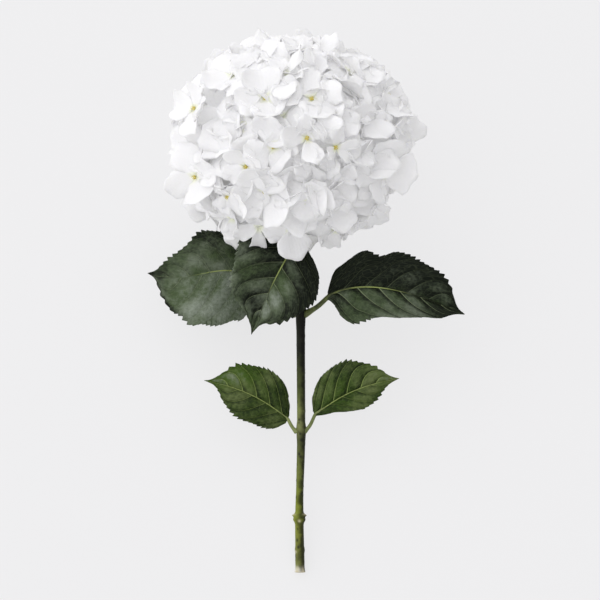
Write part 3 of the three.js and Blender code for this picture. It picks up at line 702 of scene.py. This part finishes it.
def barkPoint(up, turn, swell):
    radius = eased(stem["profile"], up)
    lips = sum(size * bump(up, spot, spread) for spot, spread, size in stem["lips"])
    wide, many, climb = stem["wideRidges"]
    fine, more, sway, slow = stem["fineRidges"]
    ridge = wide * sin(many * turn + up * climb) + fine * sin(more * turn + sway * sin(up / slow))
    x = cos(turn) * (radius * (1 + lips) + swell + ridge)
    z = sin(turn) * min(radius + swell + ridge, pose["endRadius"] + stem["climb"] * up)
    return Vector((eased(stem["wander"], up), up, 0)) + Vector((x, 0, z))


def addStem():
    draw = random.Random(stem["seed"])
    pores = [(draw.uniform(*stem["poresUp"]), draw.uniform(0, tau),
              draw.uniform(*stem["poreSizes"])) for _ in range(stem["pores"])]
    sides = stem["sides"]
    turns = turnsOf(sides)
    rows = int(stem["topUp"] / stem["step"])
    bark = Heap("stemUp", "pore", "scar", "sunny")
    for i in range(rows + 1):
        up = stem["topUp"] * i / rows
        for turn in turns:
            pore, swell = poreAt(up, turn, pores)
            # the lit-side mark is 1 on the left side, which is painted lighter, and 0 on the right, which is
            # painted darker
            bark.add([barkPoint(up, turn, swell)], [], stemUp=up / stem["topUp"], pore=pore,
                     scar=scarAt(up, turn), sunny=0.5 - 0.5 * cos(turn))
    bark.faces += [[a, d, c, b] for a, b, c, d in ringFaces(rows + 1, sides)]
    start = len(bark.points)
    cutRadius = stem["profile"][0][1]
    for share, depth, scar in stem["cutRings"]:
        radius = cutRadius * share
        ring = [Vector((cos(turn) * radius, depth, sin(turn) * radius)) for turn in turns]
        bark.add(ring, [], stemUp=0, pore=0, scar=scar, sunny=1)
    pith = Vector((0, stem["cutRings"][-1][1], 0))
    bark.add([pith], [], stemUp=0, pore=0, scar=stem["pithScar"], sunny=1)
    last = len(bark.points) - 1
    bark.faces += [[j, (j + 1) % sides, start + (j + 1) % sides, start + j] for j in range(sides)]
    bark.faces += ringFaces(len(stem["cutRings"]), sides, start)
    bark.faces += [[last - sides + j, last - sides + (j + 1) % sides, last] for j in range(sides)]
    bark.faces.append([rows * sides + j for j in range(sides)][::-1])
    addPiece("stem_bark", bark, "greenBark", "stem")


print("stem")
addStem()

view = {"distance": 1.5, "frameWidth": 0.450, "centreUp": 204.0}  # m, m, and mm up the stem
head = {
    "centre": Vector((-5.5, 322, 0)), "radii": Vector((77.5, 68.5, 78)), "seed": 58,
    "count": 176, "openAngle": radians(150),  # the ball is open round the stem
    "clearance": 15.0, "eyeClearance": 21.5,  # kept round the listed florets
    "layers": [-4, -1.3, 1.4, 4], "neighbour": 29,  # mm outwards; florets this near take different ones
    "lowLayers": [-4.5, -2.8, -1.2], "lowWithin": 33,  # for those near the listed florets
    "lean": 0.17, "faceLean": 0.05, "forward": 0.3, "frontFrom": -0.15,  # forward turns florets to the front
    "sizes": (0.98, 1.16), "rimSize": 0.86,  # of the florets at the outline, which lean out over it
    "yellowShare": 0.15, "fineFrom": -0.2, "crownFrom": 0.1,
    "lowest": 1.2, "pressedLowest": 0.5, "pressedStep": 0.5, "pressedTurn": 0.25,  # mm over the surface
    "innerCount": 170, "innerShare": 0.94, "innerSizes": (0.95, 1.1), "innerLift": (-3, 3),
}
petal = {
    "length": 21.5, "width": 31.0, "thickness": 0.32, "grid": 10, "backGrid": 6, "innerGrid": 5,
    "pitch": (-5, 18), "facePitch": (0, 13), "roll": (-14, 14), "turn": (-9, 9),  # degrees
    "size": (0.85, 1.2), "start": 0.7, "overlap": 0.5, "fan": (0.34, 0.72, 0.75),
    "tipHalf": 0.34, "crease": 0.3, "creaseHalf": 1.2, "creaseEnd": 1.3, "flatShare": 0.3,
    "ragWaves": [(6, 1, 1), (11, 0.7, 2)],  # how many round the margin, size, and which phase
    "ruffleWaves": [(3, 1, 0), (5, 0.6, 1), (8, 0.35, 2)],
    "drawn": {  # by each petal for itself: bend and curl in radians, ruffle in mm, the others shares
        "bend": (-0.65, 0.9), "curl": (-0.8, 0.7), "twist": (-0.28, 0.28), "fold": (-0.15, 0.36),
        "square": (-0.07, 0.06), "ruffle": (1.0, 2.7), "point": (0.0, 0.13), "ragged": (0.015, 0.06)},
}
# across and up from the head's centre, turn in degrees, size, step outwards, how far it faces forward,
# its eye, and for the florets that stand out each petal's turn, length, width and pitch
faceFlorets = [
    (-65, 22, 70, 0.9, 11, 0.3, "yellow"),
    (-20, 32, 100, 1.05, 1, 0, "yellow"),
    (-5, 48, 55, 1.15, 3, 0, "white",
     (118, 18, 18, 12), (268, 25, 23, 6), (50, 21, 12, 30), (-28, 14, 9, 10)),
    (14, 32, 20, 0.95, 0, 0, "yellow"),
    (27, 20, 68, 0.95, 1, 0, "yellow"),
    (67, 31, 40, 1.05, 5, 0.3, "yellow"),
    (10, 3, 75, 1.2, 4, 0, "yellow",
     (178, 22, 21, 14), (28, 26, 20, 10), (100, 17, 18, 34), (285, 20, 20, 8)),
    (29, -3, 5, 1.05, 6, 0, "yellow",
     (-14, 19, 23, 12), (202, 16, 11, 30), (250, 21, 16, -12), (85, 17, 18, 20)),
    (18, -10, 40, 0.85, -2, 0, "white"),
    (-14, -3, 20, 0.95, 1, 0, "yellow"),
    (-33, -17, 52, 1.15, 3, 0, "yellow",
     (42, 22, 19, 14), (-30, 26, 21, 8), (130, 19, 20, 24), (212, 18, 19, 20)),
    (-66, -23, 30, 1.0, 10, 0.6, "yellow"),
    (-45, -37, 75, 1.05, 6, 0.3, "yellow",
     (142, 19, 16, 10), (243, 17, 20, 6), (0, 22, 26, 12), (86, 17, 12, 36)),
    (-20, -35, 35, 1.05, 1, 0, "yellow"),
    (9, -43, 50, 1.0, 2, 0, "white"),
    (64, -20, 80, 1.15, 2, 0.3, "white"),
    (13, 66, 30, 1.0, 1, 0.4, "white"),
    (40, 52, 75, 1.0, 1, 0.3, "white"),
    (-44, -54, 25, 1.05, 3, 1.2, None, (266, 30, 21, -2), (150, 19, 19, 8), (35, 16, 17, 22)),
    (-24, -60, 25, 1.05, 5, 1.1, None,
     (266, 33, 16, -4), (200, 18, 17, 12), (340, 19, 18, 14), (90, 17, 19, 30)),
    (-2, -60, 65, 1.1, 3, 0.8, "white",
     (280, 27, 32, -4), (216, 18, 20, 6), (22, 21, 21, 14), (110, 18, 20, 28)),
    (31, -63, 40, 1.0, 3, 0.7, "white",
     (2, 18, 19, 8), (78, 19, 20, 18), (168, 17, 18, 14), (262, 26, 19, -2)),
    (58, -48, 30, 1.0, 2, 0.3, "white"),
]


def gap(floret, on):
    return ((floret["on"] - on) * head["radii"]).length


def spiral(count, openAngle):
    golden = pi * (3 - sqrt(5))
    for k in range(count):
        high = 1 - (k + 0.5) / count * (1 - cos(openAngle))
        flat = sqrt(1 - high * high)
        yield Vector((flat * cos(k * golden), high, flat * sin(k * golden)))


def seenFrom(across, up):
    # where the head shows a floret at across and up of its middle, for an eye straight over the flower
    centre, radii = head["centre"], head["radii"]
    eyeUp = view["centreUp"]
    nearer = 1.0
    for _ in range(4):
        u = ((across + centre.x) * nearer - centre.x) / radii.x
        v = ((up + centre.y - eyeUp) * nearer - centre.y + eyeUp) / radii.y
        deep = sqrt(max(0.02, 1 - u * u - v * v))
        nearer = 1 - deep * radii.z / (view["distance"] / mm)
    return Vector((u, v, deep)).normalized()


def newFloret(on, **values):
    return {"on": on, "forward": 0, "lean": head["lean"], "eye": None, "petals": [], "inner": False, **values}


def liftAmong(on, face, placed):  # the layer that is furthest from those of the neighbours
    def near(florets, within):
        return [floret["lift"] for floret in florets if gap(floret, on) < within]

    steps = head["lowLayers" if near(face, head["lowWithin"]) else "layers"]
    around = near(placed, head["neighbour"])
    return max(steps, key=lambda step: min([abs(step - other) for other in around] or [99]))


def placeFlorets(draw):
    face = [
        newFloret(seenFrom(across, up), turn=radians(turn), size=size, lift=lift + 1, forward=forward,
                  lean=head["faceLean"], eye=eye, petals=petals)
        for across, up, turn, size, lift, forward, eye, *petals in faceFlorets
    ]
    placed = list(face)
    for on in spiral(head["count"], head["openAngle"]):
        if any(gap(floret, on) < head["eyeClearance" if floret["eye"] == "yellow" else "clearance"]
               for floret in face):
            continue
        rim = head["rimSize"] + (1 - head["rimSize"]) * abs(on.z)
        placed.append(newFloret(
            on, lift=liftAmong(on, face, placed), turn=draw.uniform(0, pi / 2),
            size=rim * draw.uniform(*head["sizes"]),
            forward=head["forward"] if on.z > head["frontFrom"] else 0,
            eye="yellow" if draw.random() < head["yellowShare"] else "white"))
    for on in spiral(head["innerCount"], head["openAngle"]):
        placed.append(newFloret(
            on, turn=draw.uniform(0, pi / 2), size=draw.uniform(*head["innerSizes"]),
            lift=draw.uniform(*head["innerLift"]), inner=True))
    return placed


def frameFloret(floret, draw):
    on = floret["on"]
    radii = head["radii"]
    out = Vector((on.x / radii.x, on.y / radii.y, on.z / radii.z)).normalized()
    out.z += floret["forward"]
    lean = floret["lean"]
    out = (out + Vector([draw.uniform(-lean, lean) for _ in range(3)])).normalized()
    across = Vector((1, 0, 0)) if abs(out.x) < 0.92 else Vector((0, 0, -copysign(1, out.x)))
    across = (across - out * across.dot(out)).normalized()
    spot = on * radii * (head["innerShare"] if floret["inner"] else 1)
    centre = pressed(spot + head["centre"] + out * floret["lift"], head["lowest"])
    return centre, out, across, out.cross(across)


def pressed(point, lowest):
    height = layDown(point).z / mm
    if height >= lowest:
        return point
    return point + turnDown.transposed() @ Vector((0, 0, lowest - height))


def arc(angle, length, share):
    if abs(angle) < 0.01:
        return length * share, 0
    return length * sin(angle * share) / angle, length * (1 - cos(angle * share)) / angle


def ripple(waves, turn, phases):
    return sum(size * sin(times * turn + phases[which]) for times, size, which in waves)


def petalPoints(length, width, draw, grid):
    shape = {key: draw.uniform(*ends) for key, ends in petal["drawn"].items()}
    phases = [draw.uniform(0, tau) for _ in range(3)]
    slim, spread, power = petal["fan"]
    flat = petal["flatShare"]
    points, outs, fans = [], [], []
    for i in range(grid + 1):
        for j in range(grid + 1):
            a, b = 2 * i / grid - 1, 2 * j / grid - 1
            x, y = a * sqrt(1 - b * b / 2), b * sqrt(1 - a * a / 2)  # a square grid made round
            rim = min(1, hypot(x, y))
            turn = atan2(y, x)
            swell = (1 + shape["square"] * cos(4 * turn) * rim * rim
                     + shape["ragged"] * rim ** 4 * ripple(petal["ragWaves"], turn, phases))
            out = (x * swell + 1) / 2
            side = y * swell * (slim + spread * max(0, out) ** power)
            tip = shape["point"] * bump(turn, 0, petal["tipHalf"]) * rim ** 4
            forth, rise = arc(shape["bend"], length, out + tip)
            across, lift = arc(shape["curl"], width / 2, abs(side))
            free = flat + (1 - flat) * out  # a petal is flattest at its base
            crease = petal["crease"] * bump(across, 0, petal["creaseHalf"]) * out * (petal["creaseEnd"] - out)
            rise += (lift * free + shape["fold"] * across * out
                     + shape["twist"] * copysign(across, side) * out
                     + shape["ruffle"] * ripple(petal["ruffleWaves"], turn, phases) * rim ** 3 * free
                     - crease)
            points.append(Vector((forth, copysign(across, side), rise)))
            outs.append(out)
            fans.append(y)
    return points, outs, fans


def petalPlan(floret, draw):
    if floret["petals"]:
        return [(radians(turn), length, width, radians(pitch))
                for turn, length, width, pitch in floret["petals"]]
    pitches = "pitch" if floret["lean"] == head["lean"] else "facePitch"
    return [
        (floret["turn"] + k * pi / 2 + radians(draw.uniform(*petal["turn"])),
         petal["length"] * floret["size"] * draw.uniform(*petal["size"]),
         petal["width"] * floret["size"] * draw.uniform(*petal["size"]),
         radians(draw.uniform(*petal[pitches])))
        for k in range(4)
    ]


def addFloret(heap, floret, draw):
    centre, out, across, up = frameFloret(floret, draw)
    layersOver = sum(step > floret["lift"] for step in head["layers"])
    lowest = head["pressedLowest"] + head["pressedStep"] * layersOver
    outerGrid = "grid" if floret["on"].z > head["fineFrom"] else "backGrid"
    grid = petal["innerGrid" if floret["inner"] else outerGrid]
    for k, (turn, length, width, pitch) in enumerate(petalPlan(floret, draw)):
        points, outs, fans = petalPoints(length, width, draw, grid)
        roll = radians(draw.uniform(*petal["roll"]))
        lean = Matrix.Rotation(-pitch, 3, "Y") @ Matrix.Rotation(roll, 3, "X")
        forward = towards(across, up, turn)
        beside = out.cross(forward)
        lifted = petal["overlap"] if k % 2 else 0.0
        made = []
        for point in points:
            leant = lean @ point
            spot = (centre + forward * (leant.x + petal["start"]) + beside * leant.y
                    + out * (leant.z + lifted))
            made.append(pressed(spot, lowest + head["pressedTurn"] * k))
        heap.add(made, gridFaces(grid + 1, grid + 1), petalOut=outs, petalFan=fans)
    return centre, out, across, up


eyeForm = {  # mm out from the floret's centre, mm outwards, radius, squash, rings and sides of each ball
    "rise": 0.9, "lowest": 3.0, "uneven": 0.2, "stamenSides": 5,
    "white": ((0, 0.5, 1.5, 0.85, 6, 10), (0.75, 1.0, 0.75, 1.0, 5, 8), 0),  # with the lean of the four
    "yellow": ((0, 0.1, 1.15, 0.6, 5, 9), (1.15, 0.25, 0.72, 0.7, 5, 8), 0.6),
    "stamens": 6, "stamenRoot": (0.5, 0.4), "stamenOut": (0.4, 0.8), "stamenUp": (0.9, 1.6),
    "stamenRadii": [0.13, 0.12, 0.1], "anther": (0.32, 1.0, 4, 6),
}


def addBall(heap, form, spot, aside, out, lean=0):
    away, up, radius, squash, rings, sides = form
    axis = (out + aside * lean).normalized() if lean else out
    heap.add(*ballForm(spot + aside * away + out * up, axis, radius, squash, rings, sides))


def addEye(yellow, white, floret, frameMade, draw):
    centre, out, across, up = frameMade
    spot = centre + out * eyeForm["rise"]
    if floret["eye"] is None or layDown(spot).z < eyeForm["lowest"] * mm:
        return

    def around(turn):
        return towards(across, up, turn + draw.uniform(-eyeForm["uneven"], eyeForm["uneven"]))

    heap = yellow if floret["eye"] == "yellow" else white
    middle, corner, lean = eyeForm[floret["eye"]]
    addBall(heap, middle, spot, out, out)
    for k in range(4):
        addBall(heap, corner, spot, around(floret["turn"] + (k + 0.5) * pi / 2), out, lean)
    if heap is white:
        return
    away, high = eyeForm["stamenRoot"]
    for turn in turnsOf(eyeForm["stamens"]):
        aside = around(turn)
        root = spot + aside * away + out * high
        top = root + aside * draw.uniform(*eyeForm["stamenOut"]) + out * draw.uniform(*eyeForm["stamenUp"])
        white.add(*rodForm([root, (root + top) / 2, top], eyeForm["stamenRadii"], eyeForm["stamenSides"]))
        yellow.add(*ballForm(top, out, *eyeForm["anther"]))


branch = {
    "neck": Vector((-1.2, 276.9, 0)), "fork": Vector((-3, 300, 0)), "forkShare": 0.6,
    "hubs": 16, "hubAngle": radians(160), "hubRadii": Vector((34, 30, 33)),
    "branch": (3.2, 1.9), "pedicel": (0.95, 0.35),  # radius at the start, and how much of it goes
    "steps": (4, 3), "sides": (10, 6),  # of a branch and of a pedicel
    "sway": 3, "straight": 4, "under": 0.5,  # of a pedicel, mm
}


def addBranches(heap):
    neck, fork = branch["neck"], branch["fork"]
    hubs = []
    for on in spiral(branch["hubs"], branch["hubAngle"]):
        hub = fork + on * branch["hubRadii"]
        hubs.append(hub)
        bend = neck + (fork - neck) * branch["forkShare"]
        path = smoothPath([neck, bend, (bend + hub) / 2, hub], branch["steps"][0])
        heap.add(*rodForm(path, tapered(branch["branch"], len(path)), branch["sides"][0]))
    return hubs


def addPedicel(heap, centre, out, hubs, draw):
    sway = branch["sway"]
    spot = centre - out * branch["under"]
    hub = min(hubs, key=lambda h: (h - spot).length)
    middle = (hub + spot) / 2 + Vector([draw.uniform(-sway, sway) for _ in range(3)])
    path = smoothPath([hub, middle, spot - out * branch["straight"], spot], branch["steps"][1])
    path = [pressed(point, head["lowest"]) for point in path]
    heap.add(*rodForm(path, tapered(branch["pedicel"], len(path)), branch["sides"][1]))


def addHead():
    draw = random.Random(head["seed"])
    crown, skirt, inner = [Heap("petalOut", "petalFan") for _ in range(3)]
    yellow, white, green = Heap(), Heap(), Heap()
    hubs = addBranches(green)
    for floret in placeFlorets(draw):
        outer = crown if floret["on"].y > head["crownFrom"] else skirt
        made = addFloret(inner if floret["inner"] else outer, floret, draw)
        addPedicel(green, made[0], made[1], hubs, draw)
        addEye(yellow, white, floret, made, draw)
    for name, heap in (("crown_florets", crown), ("skirt_florets", skirt), ("inner_florets", inner)):
        addShell(addPiece("bloom_" + name, heap, "whitePetal", "bloom"), petal["thickness"], 0)
    for name, heap, finish in (("yellow_eyes", yellow, "eyeYellow"), ("white_buds", white, "budWhite"),
                               ("branches", green, "pedicelGreen")):
        addPiece("bloom_" + name, heap, finish, "bloom")


print("head")
addHead()

stage = {
    "floorSize": 6.0,
    "shader": {"Base Color": (0.16, 0.16, 0.162, 1), "Roughness": 0.9, "Specular IOR Level": 0.1,
               "Emission Color": (0.975, 0.972, 0.98, 1), "Emission Strength": 0.73},  # of the floor
    "sky": (0.99, 0.985, 1.0, 1), "skyStrength": (0.04, 1.25),  # away from the key and towards it
    "keyPower": 3.6, "keySize": 2.4, "keyFrom": Vector((-1.6, 1.0, 1.7)),
}


def addFloor():
    half = stage["floorSize"] / 2
    corners = [(-half, -half, 0), (half, -half, 0), (half, half, 0), (-half, half, 0)]
    mesh = bpy.data.meshes.new("floor")
    mesh.from_pydata(corners, [], [(0, 1, 2, 3)])
    mesh.materials.append(newMaterial("paleFloor", stage)[0])
    addObject("floor", mesh)


def addKey(target):
    light = bpy.data.lights.new("key", "AREA")
    light.energy = stage["keyPower"]
    light.size = stage["keySize"]
    lamp = addObject("key", light)
    lamp.location = target + stage["keyFrom"]
    lamp.rotation_euler = (target - lamp.location).to_track_quat("-Z", "Y").to_euler()


def addCamera():
    camera = bpy.data.cameras.new("camera")
    camera.angle = 2 * atan(view["frameWidth"] / 2 / view["distance"])
    camera.clip_end = 20
    seat = addObject("camera", camera)
    target = layDown(Vector((0, view["centreUp"], 0)))
    back = turnDown @ Vector((0, 0, view["distance"]))
    seat.matrix_world = Matrix.Translation(target + back) @ turnDown.to_4x4()
    bpy.context.scene.camera = seat
    return target


def addSky():
    world = bpy.data.worlds.new("world")
    world.use_nodes = True
    tree = world.node_tree
    background = tree.nodes["Background"]
    background.inputs["Color"].default_value = stage["sky"]
    way = place(tree, "TexCoord").outputs["Generated"]
    key = stage["keyFrom"].normalized()
    near = place(tree, "VectorMath", {0: way, 1: key}, operation="DOT_PRODUCT").outputs["Value"]
    strength = remap(tree, near, (-1.0, 1.0), stage["skyStrength"], smooth=False)
    tree.links.new(strength, background.inputs["Strength"])
    bpy.context.scene.world = world


print("stage")
addFloor()
addKey(addCamera())
addSky()
bpy.context.scene.view_settings.view_transform = "Standard"
